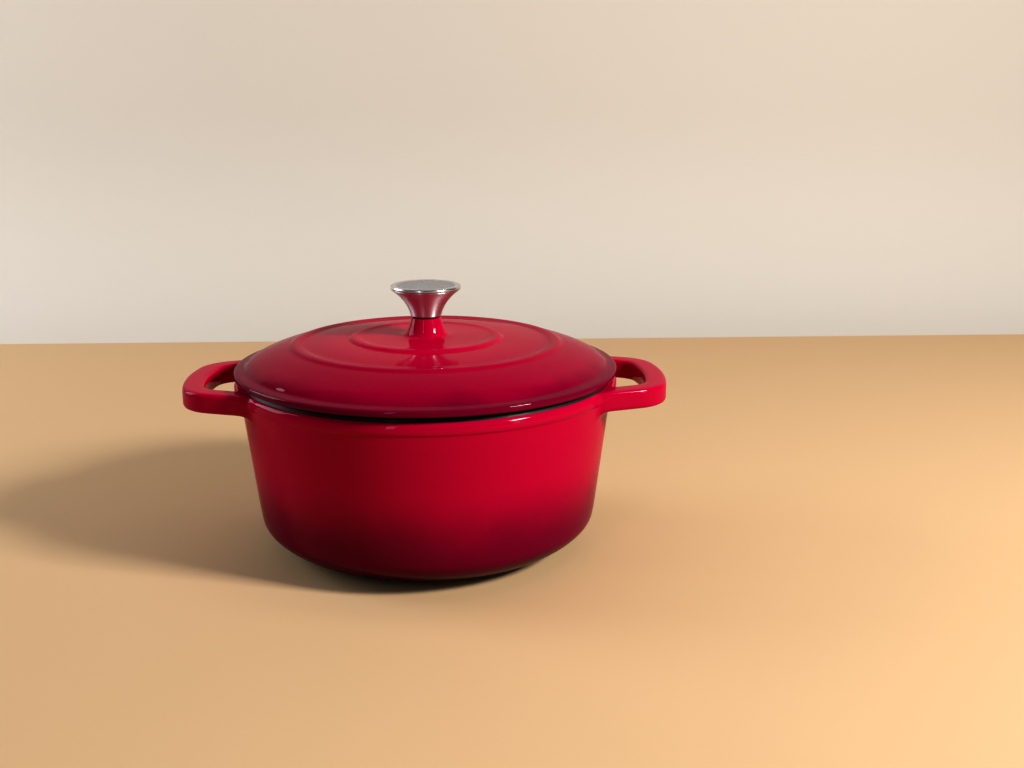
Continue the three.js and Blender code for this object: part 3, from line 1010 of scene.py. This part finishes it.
class OBJECT_OT_oven_fasteners(bpy.types.Operator):
    """Build the gasket, insert, screw and washers that hold the knob on the lid"""

    bl_idname = "object.oven_fasteners"
    bl_label = "Fasteners"

    def execute(self, context):
        colours = context.scene.oven_finish
        zinc = turned_steel("zinc_steel", colours.zinc, roughness=0.36, groove=0.006 * MM)
        rubber = gasket_rubber(colours)

        bm = bmesh.new()
        turn(bm, ring_outline(GASKET_BOX, CLEARANCE_HOLE, RING_EASE), SMALL_STEPS)
        finish_piece(bm, "boss_gasket", "lid", [rubber], ["knob_gasket"])

        bm = bmesh.new()
        turn(bm, ring_outline(INSERT_BOX, INSERT_HOLE, INSERT_EASE), THREADED_STEPS)
        finish_piece(bm, "threaded_insert", "lid", [zinc], ["knob_insert"])

        bm = bmesh.new()
        turn(bm, ring_outline(WASHER_BOX, CLEARANCE_HOLE, RING_EASE), SMALL_STEPS)
        finish_piece(bm, "plain_washer", "lid", [zinc], ["flat_washer"])

        bm = bmesh.new()
        spring_ring(bm)
        finish_piece(
            bm, "split_washer", "lid", [zinc], ["spring_washer"], levels=0
        )

        bm = bmesh.new()
        turn(bm, screw_outline(), THREADED_STEPS)
        screw = finish_piece(
            bm, "pan_head_screw", "lid", [zinc], ["knob_screw"], levels=1
        )
        carve(screw, cross_cutter())
        return {"FINISHED"}


# ---------------------------------------------------------------- studio

AIM = (0, 0, 0.08)  # the middle of the oven, which the lights point at
WARM = (1.0, 0.96, 0.91)
COOL = (0.9, 0.95, 1.0)
WORLD_COLOUR = (0.78, 0.83, 1.0, 1.0)
WORLD_STRENGTH = 0.11
COVE_REACH = 0.6  # how far the cove's pull points stand off, as a share of its rise
COVE_POINTS = 9
SENSOR_WIDTH = 36.0
NEAREST = 0.05  # the camera sees nothing closer than this


def add_area_light(name, place, target, size, watts, tint):
    """Adds a rectangular soft light aimed at a point."""
    light = bpy.data.lights.new(name, "AREA")
    light.shape = "RECTANGLE"
    light.size, light.size_y = size
    light.energy = watts
    light.color = tint
    lamp = bpy.data.objects.new(name, light)
    lamp.location = place
    lamp.rotation_euler = (Vector(target) - Vector(place)).to_track_quat("-Z", "Y").to_euler()
    lamp.visible_camera = False
    bpy.context.scene.collection.objects.link(lamp)
    return lamp


def studio_floor(studio, colours):
    """A level floor that curves up into an upright backdrop."""
    start = studio.cove_start
    wall = studio.wall_distance
    rise = wall - start
    foot = Vector((0, start, 0))
    head = Vector((0, wall, rise))
    out = Vector((0, COVE_REACH * rise, 0))
    up = Vector((0, 0, COVE_REACH * rise))
    profile = [Vector((0, -studio.half_width, 0))]
    profile += interpolate_bezier(foot, foot + out, head - up, head, COVE_POINTS)
    profile.append(Vector((0, wall, studio.wall_height)))
    bm = bmesh.new()
    left = Vector((-studio.half_width, 0, 0))
    chain = [bm.verts.new(point + left) for point in profile]
    edges = [bm.edges.new(pair) for pair in zip(chain, chain[1:])]
    swept = bmesh.ops.extrude_edge_only(bm, edges=edges)["geom"]
    moved = [item for item in swept if isinstance(item, bmesh.types.BMVert)]
    bmesh.ops.translate(bm, verts=moved, vec=(2 * studio.half_width, 0, 0))
    for face in bm.faces:
        face.smooth = True
        face.material_index = 1 if face.calc_center_median().y > start else 0
    mesh = bpy.data.meshes.new("studio_floor")
    bm.to_mesh(mesh)
    bm.free()
    mesh.materials.append(plain_matt("pale_floor", colours.floor))
    mesh.materials.append(plain_matt("pale_backdrop", colours.backdrop))
    floor = bpy.data.objects.new("studio_floor", mesh)
    bpy.context.scene.collection.objects.link(floor)


def add_world():
    """A dim, slightly cool surround."""
    world = bpy.data.worlds.new("studio_world")
    world.use_nodes = True
    background = world.node_tree.nodes["Background"]
    background.inputs["Color"].default_value = WORLD_COLOUR
    background.inputs["Strength"].default_value = WORLD_STRENGTH
    bpy.context.scene.world = world


def add_camera(studio):
    """The camera, in front of the oven and a little above it."""
    camera = bpy.data.cameras.new("front_camera")
    camera.lens = studio.focal_length
    camera.sensor_width = SENSOR_WIDTH
    camera.clip_start = NEAREST
    eye = bpy.data.objects.new("front_camera", camera)
    eye.location = (studio.camera_across, -studio.camera_back, studio.camera_height)
    eye.rotation_euler = (math.pi / 2 - studio.pitch, 0.0, -studio.heading)
    bpy.context.scene.collection.objects.link(eye)
    bpy.context.scene.camera = eye


class OBJECT_OT_oven_studio(bpy.types.Operator):
    """Set up the floor, the camera and the lights"""

    bl_idname = "object.oven_studio"
    bl_label = "Studio"

    def execute(self, context):
        scene = context.scene
        studio = scene.oven_studio
        scene.view_settings.view_transform = "Standard"
        scene.view_settings.look = "High Contrast"
        studio_floor(studio, scene.oven_finish)
        add_world()
        add_camera(studio)
        lights = (  # name, place, size, power and tint of each light aimed at the oven
            ("key_light", (1.16, -0.70, 0.90), (0.28, 0.28), studio.key_power, WARM),
            ("window_light", (-1.3, 0.35, 0.6), (0.7, 0.9), studio.window_power, COOL),
            ("front_strip", (-0.45, -1.25, 0.6), (0.12, 0.9), studio.strip_power, COOL),
            ("side_strip", (1.05, -0.80, 0.55), (0.09, 0.9), studio.strip_power, COOL),
        )
        for name, place, size, watts, tint in lights:
            add_area_light(name, place, AIM, size, watts, tint)
        wash = add_area_light(
            "wall_light",
            (-0.2, 0.2, 1.7),
            (0, studio.wall_distance, 0.4),
            (2.4, 0.3),
            studio.wall_power,
            WARM,
        )
        wash.visible_glossy = False
        return {"FINISHED"}


# ---------------------------------------------------------------- panel and running


SETTINGS = {
    "oven_pot": OvenPotSettings,
    "oven_lid": OvenLidSettings,
    "oven_knob": OvenKnobSettings,
    "oven_finish": OvenFinishSettings,
    "oven_studio": OvenStudioSettings,
}

OPERATORS = (
    OBJECT_OT_oven_studio,
    OBJECT_OT_oven_pot,
    OBJECT_OT_oven_lid,
    OBJECT_OT_oven_knob,
    OBJECT_OT_oven_fasteners,
)


class VIEW3D_PT_dutch_oven(bpy.types.Panel):
    """The pieces of the dutch oven and their sizes"""

    bl_idname = "VIEW3D_PT_dutch_oven"
    bl_label = "Dutch Oven"
    bl_space_type = "VIEW_3D"
    bl_region_type = "UI"
    bl_category = "Dutch Oven"

    def draw(self, context):
        for operator in OPERATORS:
            self.layout.operator(operator.bl_idname)
        for name, group in SETTINGS.items():
            box = self.layout.box()
            for prop in group.__annotations__:
                box.prop(getattr(context.scene, name), prop)


def register():
    for group in SETTINGS.values():
        bpy.utils.register_class(group)
    for operator in OPERATORS:
        bpy.utils.register_class(operator)
    bpy.utils.register_class(VIEW3D_PT_dutch_oven)
    for name, group in SETTINGS.items():
        setattr(bpy.types.Scene, name, bpy.props.PointerProperty(type=group))


def unregister():
    for name in SETTINGS:
        delattr(bpy.types.Scene, name)
    bpy.utils.unregister_class(VIEW3D_PT_dutch_oven)
    for operator in reversed(OPERATORS):
        bpy.utils.unregister_class(operator)
    for group in reversed(SETTINGS.values()):
        bpy.utils.unregister_class(group)


def main():
    register()
    bpy.ops.object.oven_studio()
    bpy.ops.object.oven_pot()
    bpy.ops.object.oven_lid()
    bpy.ops.object.oven_knob()
    bpy.ops.object.oven_fasteners()


if __name__ == "__main__":
    main()
